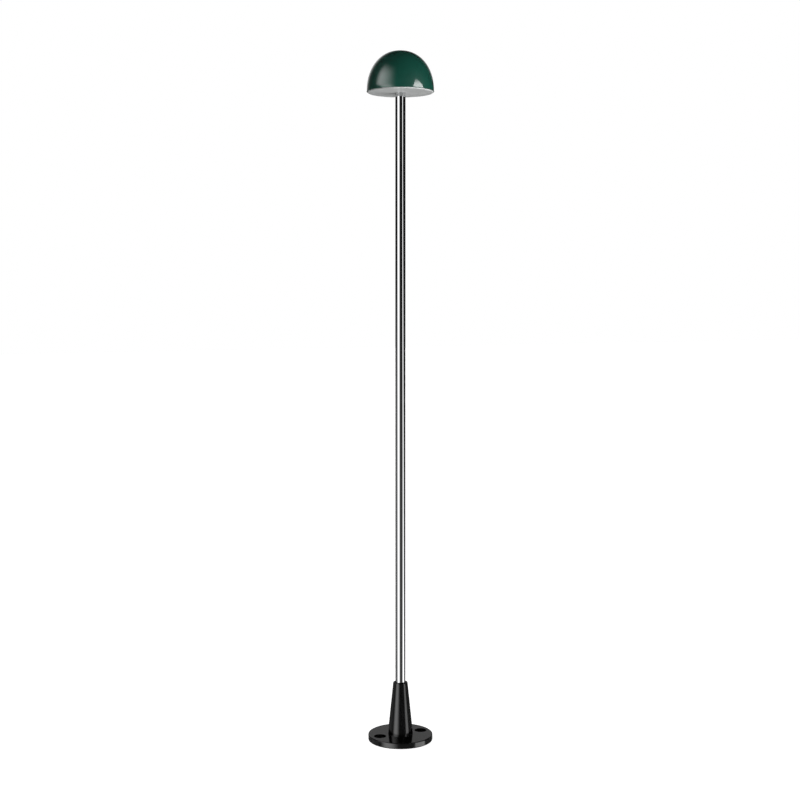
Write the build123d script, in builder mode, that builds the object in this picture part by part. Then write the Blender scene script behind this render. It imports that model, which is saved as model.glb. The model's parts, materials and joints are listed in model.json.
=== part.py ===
"""Screw-down pole lamp: cast foot with a tapered socket, chromed pole, dome shade over an LED head.

Units are millimetres, +Z is up, and the origin is the centre of the foot's underside. The two floor bolts lie
on the X axis, and the lock screw is on the +Y side of the socket.
"""

import os
from math import cos, radians, sin

from build123d import *

# Overall
TOTAL_HEIGHT = 1498.0

# Pole
POLE_RADIUS = 11.0
POLE_BORE = 9.5
POLE_TOP = 1424.0

# Foot
PAD_THICKNESS = 1.2
FLANGE_RADIUS = 70.9
FLANGE_TOP = 12.7
FLANGE_EDGE = 1.6
CONE_FOOT_RADIUS = 27.8
CONE_TOP_RADIUS = 15.9
SOCKET_TOP = 128.2
BOLT_CIRCLE_RADIUS = 49.4
BOLT_HOLE_RADIUS = 5.5
COUNTERBORE_RADIUS = 13.5
COUNTERBORE_DEPTH = 7.5

# Inside of the foot
SOCKET_BORE = 13.0
LEDGE_Z = 36.0
WEB_THICKNESS = 4.0
WEB_BORE = 9.0
POCKET_RADIUS = 20.0
RECESS_RADIUS = 38.3
PLATE_RADIUS = 38.0
PLATE_THICKNESS = 2.0
PLATE_SCREW_CIRCLE = 30.0

# Pole guide
RUNNING_CLEARANCE = 0.05
BODY_GAP = 0.2
HEIGHT_TRAVEL = 40.0
RUNNER_HEIGHT = 16.0
SPIGOT_HEIGHT = 16.0
KEY_HALF_WIDTH = 1.9
KEY_REACH = 14.8
LOCK_SCREW_Z = 110.0
LOCK_SCREW_RADIUS = 3.0
PIN_RADIUS = 1.48

# Screw sizes shared by the small parts
M3_SHANK = 1.45
M3_HOLE = 1.5
M3_HEAD = 2.7
HEAD_HEIGHT = 1.8
SLOT_WIDTH = 0.6
SLOT_DEPTH = 0.8

# Lead
LEAD_RADIUS = 2.8
CORE_RADIUS = 0.9
BLOCK_SIZE = (24.0, 14.0, 13.0)
BLOCK_PITCH = 8.0
ENTRY_HEIGHT = 6.8
GROMMET_Y = -13.0
GROMMET_HOLE = 4.0
EARTH_POINT = (-12.0, -11.0)
HEAD_SLACK = 8.0

# Shade and diffuser
SHADE_RADIUS = 71.6
SHADE_CROWN = 85.0
SHADE_FULLNESS = 2.15
SHADE_WALL = 1.6
SHADE_SKIRT = 1.3
BEAD_RADIUS = 72.0
DIFFUSER_RADIUS = 69.7
DIFFUSER_THICKNESS = 2.4
DIFFUSER_PROUD = 2.0
DIFFUSER_HOLE = 11.4
DIFFUSER_WALL_RADIUS = 66.4
DIFFUSER_WALL_BORE = 64.4

# Head
PLUG_SHOULDER = 3.0
PLUG_LENGTH = 20.0
PLUG_SCREW_DROP = 6.0
CARRIER_RADIUS = 64.3
CARRIER_THICKNESS = 2.5
NIPPLE_RADIUS = 5.0
NIPPLE_BORE = 3.5
BOARD_RADIUS = 58.0
BOARD_BORE = 14.0
BOARD_THICKNESS = 1.6
THERMAL_PAD_THICKNESS = 0.5
BOARD_SCREW_CIRCLE = 30.0
LUG_COUNT = 3
LUG_START = 60.0
LUG_HALF_WIDTH = 6.5
LUG_SHEET = 1.6
LUG_SCREW_CIRCLE = 51.2
TWIST_ANGLE = 24.0
STOP_ANGLE = 8.2
DRIVER_SIZE = (28.0, 62.0, 20.0)
DRIVER_X = 30.0
DRIVER_EAR_Y = 34.4
DRIVER_EARS = ((DRIVER_X, DRIVER_EAR_Y), (DRIVER_X, -DRIVER_EAR_Y))
DRIVER_WIRES_X = (DRIVER_X - 9.0, DRIVER_X - 5.6)
WIRE_HOLE = (14.0, 38.0)
WIRE_HOLE_RADIUS = 3.5

# Heights worked out from the driving sizes
EQUATOR_Z = TOTAL_HEIGHT - SHADE_CROWN
RIM_Z = EQUATOR_Z - SHADE_SKIRT
DIFFUSER_Z = RIM_Z - DIFFUSER_PROUD
PLATE_TOP = PAD_THICKNESS + PLATE_THICKNESS
POCKET_TOP = LEDGE_Z - WEB_THICKNESS
RUNNER_Z = LEDGE_Z + BODY_GAP
RUNNER_SHOULDER = RUNNER_Z + RUNNER_HEIGHT
POLE_BOTTOM = RUNNER_SHOULDER + BODY_GAP
PIN_Z = POLE_BOTTOM + 7.3
BUSH_BOTTOM = RUNNER_SHOULDER + HEIGHT_TRAVEL + BODY_GAP
BUSH_TOP = SOCKET_TOP - 1.8
CARRIER_Z = POLE_TOP + PLUG_SHOULDER
CARRIER_TOP = CARRIER_Z + CARRIER_THICKNESS
BOARD_TOP = CARRIER_Z - THERMAL_PAD_THICKNESS
BOARD_Z = BOARD_TOP - BOARD_THICKNESS
RING_Z = CARRIER_TOP + 0.3
RING_THICKNESS = 2.0
RING_TOP = RING_Z + RING_THICKNESS
RING_BORE = 57.5
NIPPLE_BOTTOM = POLE_TOP - 15.0
NIPPLE_TOP = CARRIER_TOP + 10.0
LEAD_JOIN_Z = POLE_BOTTOM + 43.0
PLUG_SCREW_Z = POLE_TOP - PLUG_SCREW_DROP
LEAD_TOP = NIPPLE_TOP + HEAD_SLACK
DRIVER_ENTRY_Z = CARRIER_TOP + 9.0
PLATE_SCREW_ANGLES = (30.0, 150.0, 270.0)
LUG_ANGLES = [LUG_START + i * 360.0 / LUG_COUNT for i in range(LUG_COUNT)]

os.makedirs("parts", exist_ok=True)


def write(builder, name):
    """Label a finished piece and write it as its own STEP file."""
    builder.part.label = name
    export_step(builder.part, f"parts/{name}.step")


def cone_radius(z):
    """Outer radius of the tapered socket at height z."""
    taper = (CONE_FOOT_RADIUS - CONE_TOP_RADIUS) / (SOCKET_TOP - FLANGE_TOP)
    return CONE_FOOT_RADIUS - taper * (z - FLANGE_TOP)


def dome_radius(z, half_width, height):
    """Radius at height z of a dome over the shade's equator, a little fuller than an ellipse."""
    rise = (z - EQUATOR_Z) / height
    return half_width * (1 - rise**SHADE_FULLNESS) ** (1 / SHADE_FULLNESS)


def shade_inner_radius(z):
    """Inner radius of the shade's shell at height z."""
    return dome_radius(z, SHADE_RADIUS - SHADE_WALL, SHADE_CROWN - SHADE_WALL)


def dome_points(half_width, height):
    """Points on the dome's outline over the shade's equator, every 10 degrees up to the crown."""
    power = 2 / SHADE_FULLNESS
    points = [
        (half_width * cos(radians(a)) ** power, EQUATOR_Z + height * sin(radians(a)) ** power)
        for a in range(0, 90, 10)
    ]
    return [*points, (0.0, EQUATOR_Z + height)]


def polar(radius, angle, z=0.0):
    """Point at a radius and an angle in degrees, at height z."""
    return (radius * cos(radians(angle)), radius * sin(radians(angle)), z)


def wire(points, radius, bends):
    """Round wire along straight runs joined by tangent arcs, made on its own."""
    with BuildPart(mode=Mode.PRIVATE) as piece:
        with BuildLine() as route:
            FilletPolyline(*points, radius=bends)
        with BuildSketch(Plane(origin=route.line @ 0, z_dir=route.line % 0)):
            Circle(radius)
        sweep(path=route.line)
    return piece.part


# ---------------------------------------------------------------- foot

# Cast foot: flange and tapered socket in one, open below for the wiring
with BuildPart() as base_socket:
    with BuildSketch(Plane.XZ):
        with BuildLine():
            Polyline(
                (0, PAD_THICKNESS),
                (FLANGE_RADIUS, PAD_THICKNESS),
                (FLANGE_RADIUS, FLANGE_TOP),
                (CONE_FOOT_RADIUS, FLANGE_TOP),
                (CONE_TOP_RADIUS, SOCKET_TOP),
                (0, SOCKET_TOP),
                close=True,
            )
        make_face()
    revolve(axis=Axis.Z)
    flange_rim = base_socket.edges().filter_by(GeomType.CIRCLE).group_by(SortBy.RADIUS)[-1]
    fillet(flange_rim.sort_by(Axis.Z)[-1], FLANGE_EDGE)
    chamfer(flange_rim.sort_by(Axis.Z)[0], 0.5)
    # Plate recess, wiring pocket, web with its hole, and the long bore
    with BuildSketch(Plane.XY.offset(PAD_THICKNESS)):
        Circle(RECESS_RADIUS)
    extrude(amount=PLATE_THICKNESS, mode=Mode.SUBTRACT)
    with BuildSketch(Plane.XY.offset(PLATE_TOP)):
        Circle(POCKET_RADIUS)
    extrude(amount=POCKET_TOP - PLATE_TOP, mode=Mode.SUBTRACT)
    with BuildSketch(Plane.XY.offset(POCKET_TOP)):
        Circle(WEB_BORE)
    extrude(amount=WEB_THICKNESS, mode=Mode.SUBTRACT)
    with BuildSketch(Plane.XY.offset(LEDGE_Z)):
        Circle(SOCKET_BORE)
    extrude(amount=SOCKET_TOP - LEDGE_Z, mode=Mode.SUBTRACT)
    # Softened mouth of the socket
    mouth = base_socket.edges().filter_by(GeomType.CIRCLE).group_by(Axis.Z)[-1]
    fillet(mouth.sort_by(SortBy.RADIUS)[-1], 0.9)
    fillet(mouth.sort_by(SortBy.RADIUS)[0], 0.7)
    # Keyway for the runner, on the side away from the lock screw
    with BuildSketch(Plane.XY.offset(LEDGE_Z)):
        with Locations((0, -KEY_REACH / 2)):
            Rectangle(2 * KEY_HALF_WIDTH + 0.3, KEY_REACH + 0.6)
    extrude(amount=BUSH_BOTTOM - LEDGE_Z, mode=Mode.SUBTRACT)
    # Counterbored bolt holes
    with Locations(Plane.XY.offset(FLANGE_TOP)):
        with PolarLocations(BOLT_CIRCLE_RADIUS, 2):
            CounterBoreHole(BOLT_HOLE_RADIUS, COUNTERBORE_RADIUS, COUNTERBORE_DEPTH)
    # Tapped holes for the plate screws
    with Locations(*[Location(polar(PLATE_SCREW_CIRCLE, a, PLATE_TOP)) for a in PLATE_SCREW_ANGLES]):
        Cylinder(2.0, 7.0, align=(Align.CENTER, Align.CENTER, Align.MIN), mode=Mode.SUBTRACT)
    # Hole for the lock screw
    with BuildSketch(Plane(origin=(0, SOCKET_BORE - 1, LOCK_SCREW_Z), z_dir=(0, 1, 0))):
        Circle(LOCK_SCREW_RADIUS)
    extrude(amount=CONE_FOOT_RADIUS - SOCKET_BORE, mode=Mode.SUBTRACT)
write(base_socket, "base_socket")

# Rubber ring under the flange, with clearance round the bolts
with BuildPart() as base_pad:
    with BuildSketch():
        Circle(FLANGE_RADIUS - 0.5)
        Circle(RECESS_RADIUS + 0.7, mode=Mode.SUBTRACT)
        with PolarLocations(BOLT_CIRCLE_RADIUS, 2):
            Circle(BOLT_HOLE_RADIUS + 1.0, mode=Mode.SUBTRACT)
    extrude(amount=PAD_THICKNESS)
write(base_pad, "base_pad")

# Steel plate that closes the foot from below
with BuildPart() as bottom_plate:
    with BuildSketch(Plane.XY.offset(PAD_THICKNESS)):
        Circle(PLATE_RADIUS)
        with Locations((0, GROMMET_Y)):
            Circle(GROMMET_HOLE, mode=Mode.SUBTRACT)
        with Locations((-BLOCK_PITCH / 2, 0), (BLOCK_PITCH / 2, 0), EARTH_POINT):
            Circle(M3_SHANK, mode=Mode.SUBTRACT)
    extrude(amount=PLATE_THICKNESS)
    with Locations(
        *[
            Plane(origin=polar(PLATE_SCREW_CIRCLE, a, PAD_THICKNESS), z_dir=(0, 0, -1))
            for a in PLATE_SCREW_ANGLES
        ]
    ):
        CounterSinkHole(2.1, 4.1)
write(bottom_plate, "bottom_plate")

# Countersunk screws through the plate
with BuildPart() as plate_screws:
    for angle in PLATE_SCREW_ANGLES:
        with BuildSketch(Plane.XZ):
            with BuildLine():
                Polyline(
                    (0, PAD_THICKNESS + 1.0),
                    (1.4, PAD_THICKNESS + 1.0),
                    (1.4, PAD_THICKNESS + 0.1),
                    (3.9, PAD_THICKNESS + 0.1),
                    (1.95, PAD_THICKNESS + 2.05),
                    (1.95, PLATE_TOP + 6.0),
                    (0, PLATE_TOP + 6.0),
                    close=True,
                )
            make_face()
        screw = revolve(axis=Axis.Z, mode=Mode.PRIVATE)
        with Locations(Location(polar(PLATE_SCREW_CIRCLE, angle))):
            add(screw)
write(plate_screws, "plate_screws")

# Rubber grommet where the mains lead enters from below
with BuildPart() as cable_grommet:
    with BuildSketch(Plane.XZ):
        with BuildLine():
            Polyline(
                (3.2, PAD_THICKNESS - 0.9),
                (5.4, PAD_THICKNESS - 0.9),
                (5.4, PAD_THICKNESS),
                (GROMMET_HOLE - 0.05, PAD_THICKNESS),
                (GROMMET_HOLE - 0.05, PLATE_TOP),
                (5.4, PLATE_TOP),
                (5.4, PLATE_TOP + 1.2),
                (3.2, PLATE_TOP + 1.2),
                close=True,
            )
        make_face()
    revolve(axis=Axis.Z)
    rounded = cable_grommet.edges().filter_by(GeomType.CIRCLE).group_by(SortBy.RADIUS)[-1]
    fillet(rounded.group_by(Axis.Z)[0], 0.5)
    fillet(rounded.group_by(Axis.Z)[-1], 0.5)
cable_grommet.part = cable_grommet.part.moved(Location((0, GROMMET_Y, 0)))
write(cable_grommet, "cable_grommet")

# Three-way terminal block with wire entries on both long faces
with BuildPart() as terminal_block:
    with BuildSketch(Plane.XY.offset(PLATE_TOP)):
        RectangleRounded(BLOCK_SIZE[0], BLOCK_SIZE[1], 1.0)
    extrude(amount=BLOCK_SIZE[2])
    # Barrier gaps between the poles
    with BuildSketch(Plane.XY.offset(PLATE_TOP + BLOCK_SIZE[2] - 5.0)):
        with Locations((-BLOCK_PITCH / 2, 0), (BLOCK_PITCH / 2, 0)):
            Rectangle(1.4, BLOCK_SIZE[1])
    extrude(amount=5.0, mode=Mode.SUBTRACT)
    with BuildSketch(Plane.XZ.offset(-BLOCK_SIZE[1] / 2)):
        with GridLocations(BLOCK_PITCH, 1, 3, 1):
            with Locations((0, PLATE_TOP + ENTRY_HEIGHT)):
                Circle(1.6)
    extrude(amount=BLOCK_SIZE[1], mode=Mode.SUBTRACT)
    with BuildSketch(Plane.XY.offset(PLATE_TOP + BLOCK_SIZE[2] - 4.0)):
        with GridLocations(BLOCK_PITCH, 7.0, 3, 2):
            Circle(2.1)
    extrude(amount=4.0, mode=Mode.SUBTRACT)
    with BuildSketch(Plane.XY.offset(PLATE_TOP)):
        with Locations((-BLOCK_PITCH / 2, 0), (BLOCK_PITCH / 2, 0)):
            Circle(M3_SHANK)
    extrude(amount=BLOCK_SIZE[2], mode=Mode.SUBTRACT)
write(terminal_block, "terminal_block")

# Slotted clamping screws in the block's wells
with BuildPart() as terminal_screws:
    with BuildSketch(Plane.XY.offset(PLATE_TOP + BLOCK_SIZE[2] - 4.0)):
        with GridLocations(BLOCK_PITCH, 7.0, 3, 2):
            Circle(1.9)
    extrude(amount=3.0)
    with BuildSketch(Plane.XY.offset(PLATE_TOP + BLOCK_SIZE[2] - 1.8)):
        with GridLocations(BLOCK_PITCH, 7.0, 3, 2):
            Rectangle(4.0, SLOT_WIDTH)
    extrude(amount=SLOT_DEPTH, mode=Mode.SUBTRACT)
write(terminal_screws, "terminal_screws")

# Two screws that hold the block to the plate
with BuildPart() as block_screws:
    with BuildSketch(Plane.XY.offset(PAD_THICKNESS + 0.2)):
        with Locations((-BLOCK_PITCH / 2, 0), (BLOCK_PITCH / 2, 0)):
            Circle(1.4)
    extrude(amount=PLATE_THICKNESS + BLOCK_SIZE[2] - 5.2)
write(block_screws, "block_screws")

# Earth tag: a ring under its screw, with a crimp barrel that stands up
with BuildPart() as earth_tag:
    with BuildSketch(Plane.XY.offset(PLATE_TOP)):
        with Locations(EARTH_POINT):
            Circle(3.0)
        with Locations((-10.0, -11.0)):
            Rectangle(4.0, 3.0)
        with Locations(EARTH_POINT):
            Circle(1.6, mode=Mode.SUBTRACT)
    extrude(amount=0.8)
    with BuildSketch(Plane.XY.offset(PLATE_TOP)):
        with Locations((-BLOCK_PITCH, EARTH_POINT[1])):
            Circle(1.5)
    extrude(amount=4.0)
    with BuildSketch(Plane.XY.offset(PLATE_TOP + 1.0)):
        with Locations((-BLOCK_PITCH, EARTH_POINT[1])):
            Circle(CORE_RADIUS)
    extrude(amount=3.0, mode=Mode.SUBTRACT)
write(earth_tag, "earth_tag")

# Earth screw through the tag into the plate
with BuildPart() as earth_screw:
    with BuildSketch(Plane.XY.offset(PAD_THICKNESS + 0.2)):
        with Locations(EARTH_POINT):
            Circle(1.4)
    extrude(amount=PLATE_THICKNESS + 0.6)
    with BuildSketch(Plane.XY.offset(PLATE_TOP + 0.8)):
        with Locations(EARTH_POINT):
            Circle(2.4)
    extrude(amount=HEAD_HEIGHT)
    with BuildSketch(Plane.XY.offset(PLATE_TOP + 1.8)):
        with Locations(EARTH_POINT):
            Rectangle(5.0, SLOT_WIDTH)
    extrude(amount=SLOT_DEPTH, mode=Mode.SUBTRACT)
write(earth_screw, "earth_screw")

# Earth wire from the tag's barrel to the block
entry_z = PLATE_TOP + ENTRY_HEIGHT
with BuildPart() as earth_wire:
    add(
        wire(
            [
                (-BLOCK_PITCH, EARTH_POINT[1], PLATE_TOP + 1.2),
                (-BLOCK_PITCH, EARTH_POINT[1], entry_z),
                (-BLOCK_PITCH, -5.0, entry_z),
            ],
            CORE_RADIUS - 0.05,
            3.0,
        )
    )
write(earth_wire, "earth_wire")

# Sheathed lead that stands on the axis and reaches up into the pole
block_top = PLATE_TOP + BLOCK_SIZE[2]
sheath_end = block_top + 9.0
with BuildPart() as base_lead:
    with BuildSketch(Plane.XY.offset(sheath_end)):
        Circle(LEAD_RADIUS)
    extrude(amount=LEAD_JOIN_Z - sheath_end)
write(base_lead, "base_lead")

# Cores from the lead's lower end into the block
with BuildPart() as block_cores:
    for side in (-1, 0, 1):
        start = polar(1.35, 90.0 - side * 100.0, sheath_end)
        add(
            wire(
                [
                    start,
                    (start[0], start[1], sheath_end - 3.4),
                    (side * BLOCK_PITCH * 0.8, 11.0, block_top + 1.0),
                    (side * BLOCK_PITCH, 13.0, entry_z),
                    (side * BLOCK_PITCH, 4.6, entry_z),
                ],
                CORE_RADIUS,
                [2.4, 3.0, 3.0],
            )
        )
write(block_cores, "block_cores")

# Nylon liner in the socket's mouth, with a window for the brass pad
with BuildPart() as pole_bush:
    with BuildSketch(Plane.XY.offset(BUSH_BOTTOM)):
        Circle(SOCKET_BORE - 0.02)
        Circle(POLE_RADIUS + RUNNING_CLEARANCE, mode=Mode.SUBTRACT)
    extrude(amount=BUSH_TOP - BUSH_BOTTOM)
    with BuildSketch(Plane(origin=(0, 0, LOCK_SCREW_Z), z_dir=(0, 1, 0))):
        Circle(2.5)
    extrude(amount=SOCKET_BORE + 1.0, mode=Mode.SUBTRACT)
write(pole_bush, "pole_bush")

# Brass pad that the lock screw presses on the pole
with BuildPart() as pressure_pad:
    with BuildSketch(Plane(origin=(0, POLE_RADIUS + 0.1, LOCK_SCREW_Z), z_dir=(0, 1, 0))):
        Circle(2.4)
    extrude(amount=SOCKET_BORE - POLE_RADIUS - 0.15)
write(pressure_pad, "pressure_pad")

# Grub screw with a hexagon socket
with BuildPart() as lock_screw:
    screw_back = SOCKET_BORE
    screw_front = cone_radius(LOCK_SCREW_Z) - 0.4
    with BuildSketch(Plane(origin=(0, screw_back, LOCK_SCREW_Z), z_dir=(0, 1, 0))):
        Circle(LOCK_SCREW_RADIUS - 0.04)
    extrude(amount=screw_front - screw_back)
    with BuildSketch(Plane(origin=(0, screw_front, LOCK_SCREW_Z), z_dir=(0, -1, 0))):
        RegularPolygon(1.5, 6, major_radius=False)
    extrude(amount=2.4, mode=Mode.SUBTRACT)
write(lock_screw, "lock_screw")

# ---------------------------------------------------------------- runner

# Keyed runner that slides in the bore and carries the pole on a grooved spigot
with BuildPart() as pole_runner:
    with BuildSketch(Plane.XY.offset(RUNNER_Z)):
        Circle(SOCKET_BORE - RUNNING_CLEARANCE)
        with Locations((0, -KEY_REACH / 2)):
            Rectangle(2 * KEY_HALF_WIDTH, KEY_REACH)
    extrude(amount=RUNNER_HEIGHT)
    with BuildSketch(Plane.XY.offset(RUNNER_SHOULDER)):
        Circle(POLE_BORE - RUNNING_CLEARANCE)
    extrude(amount=SPIGOT_HEIGHT)
    # Groove for the stop pin, broken by one land
    with BuildSketch(Plane.XY.offset(PIN_Z - 1.7)):
        Circle(POLE_BORE + 1.0)
        Circle(7.0, mode=Mode.SUBTRACT)
        with Locations((0, -POLE_BORE)):
            Rectangle(1.8, 2 * POLE_BORE, mode=Mode.SUBTRACT)
    extrude(amount=3.4, mode=Mode.SUBTRACT)
    # Way through for the lead
    with BuildSketch(Plane.XY.offset(RUNNER_Z)):
        Circle(LEAD_RADIUS + 0.8)
    extrude(amount=RUNNER_HEIGHT + SPIGOT_HEIGHT, mode=Mode.SUBTRACT)
write(pole_runner, "pole_runner")

# ---------------------------------------------------------------- pole

# Chromed tube, with the pin hole at its foot and two screw holes at its top
with BuildPart() as pole:
    with BuildSketch(Plane.XY.offset(POLE_BOTTOM)):
        Circle(POLE_RADIUS)
        Circle(POLE_BORE, mode=Mode.SUBTRACT)
    extrude(amount=POLE_TOP - POLE_BOTTOM)
    with BuildSketch(Plane(origin=(0, 0, PIN_Z), z_dir=(0, 1, 0))):
        Circle(PIN_RADIUS + 0.02)
    extrude(amount=POLE_RADIUS + 1.0, mode=Mode.SUBTRACT)
    with BuildSketch(Plane(origin=(0, 0, PLUG_SCREW_Z), z_dir=(0, 1, 0))):
        Circle(M3_HOLE)
    extrude(amount=POLE_RADIUS + 1.0, both=True, mode=Mode.SUBTRACT)
write(pole, "pole")

# Pin through the pole's wall into the runner's groove
with BuildPart() as stop_pin:
    with BuildSketch(Plane(origin=(0, 7.3, PIN_Z), z_dir=(0, 1, 0))):
        Circle(PIN_RADIUS)
    extrude(amount=POLE_RADIUS - 7.4)
write(stop_pin, "stop_pin")

# Sheathed lead from the join in the pole up into the head
with BuildPart() as pole_lead:
    with BuildSketch(Plane.XY.offset(LEAD_JOIN_Z + 0.3)):
        Circle(LEAD_RADIUS)
    extrude(amount=LEAD_TOP - LEAD_JOIN_Z - 0.3)
write(pole_lead, "pole_lead")

# ---------------------------------------------------------------- head

# Steel plug in the pole's top, with a shoulder that the carrier sits on
with BuildPart() as pole_plug:
    with BuildSketch(Plane.XY.offset(POLE_TOP - PLUG_LENGTH)):
        Circle(POLE_BORE - 0.02)
    extrude(amount=PLUG_LENGTH)
    with BuildSketch(Plane.XY.offset(POLE_TOP)):
        Circle(POLE_RADIUS)
    extrude(amount=PLUG_SHOULDER)
    with BuildSketch(Plane.XY.offset(POLE_TOP - PLUG_LENGTH)):
        Circle(NIPPLE_RADIUS + 0.02)
    extrude(amount=PLUG_LENGTH + PLUG_SHOULDER, mode=Mode.SUBTRACT)
    with BuildSketch(Plane(origin=(0, 0, PLUG_SCREW_Z), z_dir=(0, 1, 0))):
        Circle(M3_SHANK)
    extrude(amount=POLE_RADIUS, both=True, mode=Mode.SUBTRACT)
write(pole_plug, "pole_plug")

# Two short screws that hold the plug in the pole
with BuildPart() as plug_screws:
    for way in (-1, 1):
        with BuildSketch(Plane(origin=(0, way * (NIPPLE_RADIUS + 0.8), PLUG_SCREW_Z), z_dir=(0, way, 0))):
            Circle(1.42)
        extrude(amount=POLE_RADIUS - NIPPLE_RADIUS - 0.9)
write(plug_screws, "plug_screws")

# Hollow threaded tube that clamps the carrier to the plug
with BuildPart() as nipple:
    with BuildSketch(Plane.XY.offset(NIPPLE_BOTTOM)):
        Circle(NIPPLE_RADIUS)
        Circle(NIPPLE_BORE, mode=Mode.SUBTRACT)
    extrude(amount=NIPPLE_TOP - NIPPLE_BOTTOM)
write(nipple, "nipple")

# Split lock washer
with BuildPart() as lock_washer:
    with BuildSketch(Plane.XY.offset(CARRIER_TOP)):
        Circle(9.0)
        Circle(NIPPLE_RADIUS + 0.2, mode=Mode.SUBTRACT)
        with Locations((7.0, 0)):
            Rectangle(5.0, 0.8, mode=Mode.SUBTRACT)
    extrude(amount=1.6)
write(lock_washer, "lock_washer")

# Hexagon nut on the nipple
with BuildPart() as hex_nut:
    with BuildSketch(Plane.XY.offset(CARRIER_TOP + 1.6)):
        RegularPolygon(7.0, 6, major_radius=False)
        Circle(NIPPLE_RADIUS + 0.03, mode=Mode.SUBTRACT)
    extrude(amount=5.0)
write(hex_nut, "hex_nut")

# Aluminium carrier plate, with a groove round its edge for the diffuser's bead
with BuildPart() as carrier:
    with BuildSketch(Plane.XY.offset(CARRIER_Z)):
        Circle(CARRIER_RADIUS)
        Circle(NIPPLE_RADIUS + 0.2, mode=Mode.SUBTRACT)
        with Locations(WIRE_HOLE):
            Circle(WIRE_HOLE_RADIUS, mode=Mode.SUBTRACT)
        with PolarLocations(BOARD_SCREW_CIRCLE, 4, start_angle=45.0):
            Circle(M3_HOLE, mode=Mode.SUBTRACT)
        with PolarLocations(LUG_SCREW_CIRCLE, LUG_COUNT, start_angle=LUG_START):
            Circle(M3_HOLE, mode=Mode.SUBTRACT)
        with Locations(*DRIVER_EARS):
            Circle(M3_HOLE, mode=Mode.SUBTRACT)
    extrude(amount=CARRIER_THICKNESS)
    with BuildSketch(Plane.XY.offset(CARRIER_Z + 0.8)):
        Circle(CARRIER_RADIUS + 1.0)
        Circle(CARRIER_RADIUS - 1.0, mode=Mode.SUBTRACT)
    extrude(amount=1.0, mode=Mode.SUBTRACT)
write(carrier, "carrier")

# Soft pad that carries heat from the board to the carrier
with BuildPart() as thermal_pad:
    with BuildSketch(Plane.XY.offset(BOARD_TOP)):
        Circle(BOARD_RADIUS - 1.0)
        Circle(BOARD_BORE + 1.0, mode=Mode.SUBTRACT)
        with Locations(WIRE_HOLE):
            Circle(WIRE_HOLE_RADIUS, mode=Mode.SUBTRACT)
        with PolarLocations(BOARD_SCREW_CIRCLE, 4, start_angle=45.0):
            Circle(1.7, mode=Mode.SUBTRACT)
    extrude(amount=THERMAL_PAD_THICKNESS)
write(thermal_pad, "thermal_pad")

# Ring-shaped LED board
with BuildPart() as led_board:
    with BuildSketch(Plane.XY.offset(BOARD_Z)):
        Circle(BOARD_RADIUS)
        Circle(BOARD_BORE, mode=Mode.SUBTRACT)
        with PolarLocations(BOARD_SCREW_CIRCLE, 4, start_angle=45.0):
            Circle(1.7, mode=Mode.SUBTRACT)
    extrude(amount=BOARD_THICKNESS)
write(led_board, "led_board")

# Two rings of light-emitting chips
with BuildPart() as led_chips:
    with BuildSketch(Plane.XY.offset(BOARD_Z - 0.7)):
        with PolarLocations(22.0, 10):
            Rectangle(3.5, 2.8)
        with PolarLocations(46.0, 20):
            Rectangle(3.5, 2.8)
    extrude(amount=0.7)
write(led_chips, "led_chips")

# Pan-head screws from below into the carrier
with BuildPart() as board_screws:
    with BuildSketch(Plane.XY.offset(BOARD_Z)):
        with PolarLocations(BOARD_SCREW_CIRCLE, 4, start_angle=45.0):
            Circle(M3_SHANK)
    extrude(amount=CARRIER_TOP - 0.5 - BOARD_Z)
    with BuildSketch(Plane.XY.offset(BOARD_Z - HEAD_HEIGHT)):
        with PolarLocations(BOARD_SCREW_CIRCLE, 4, start_angle=45.0):
            Circle(2.8)
    extrude(amount=HEAD_HEIGHT)
    with BuildSketch(Plane.XY.offset(BOARD_Z - HEAD_HEIGHT)):
        with PolarLocations(BOARD_SCREW_CIRCLE, 4, start_angle=45.0):
            Rectangle(3.2, 0.7)
            Rectangle(0.7, 3.2)
    extrude(amount=0.9, mode=Mode.SUBTRACT)
write(board_screws, "board_screws")

# LED driver in its case, with an ear at each end
driver_end = DRIVER_SIZE[1] / 2
with BuildPart() as driver:
    with BuildSketch(Plane.XY.offset(CARRIER_TOP)):
        with Locations((DRIVER_X, 0)):
            RectangleRounded(DRIVER_SIZE[0], DRIVER_SIZE[1], 2.0)
    extrude(amount=DRIVER_SIZE[2])
    fillet(driver.faces().sort_by(Axis.Z)[-1].edges(), 1.0)
    with BuildSketch(Plane.XY.offset(CARRIER_TOP)):
        with Locations((DRIVER_X, 0)):
            RectangleRounded(9.0, 2 * (DRIVER_EAR_Y + 3.4), 2.0)
        with Locations(*DRIVER_EARS):
            Circle(1.6, mode=Mode.SUBTRACT)
    extrude(amount=2.0)
    # Wire entries, two low on each end face
    with BuildSketch(Plane.XZ.offset(-driver_end)):
        with Locations(*[(x, DRIVER_ENTRY_Z) for x in DRIVER_WIRES_X]):
            Circle(1.1)
    extrude(amount=4.0, mode=Mode.SUBTRACT)
    with BuildSketch(Plane.XZ.offset(driver_end)):
        with Locations(*[(x, DRIVER_ENTRY_Z) for x in DRIVER_WIRES_X]):
            Circle(1.1)
    extrude(amount=-4.0, mode=Mode.SUBTRACT)
write(driver, "driver")

# Screws through the driver's ears
with BuildPart() as driver_screws:
    with BuildSketch(Plane.XY.offset(CARRIER_Z + 0.4)):
        with Locations(*DRIVER_EARS):
            Circle(M3_SHANK)
    extrude(amount=CARRIER_THICKNESS + 1.6)
    with BuildSketch(Plane.XY.offset(CARRIER_TOP + 2.0)):
        with Locations(*DRIVER_EARS):
            Circle(M3_HEAD)
    extrude(amount=HEAD_HEIGHT)
write(driver_screws, "driver_screws")

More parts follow.
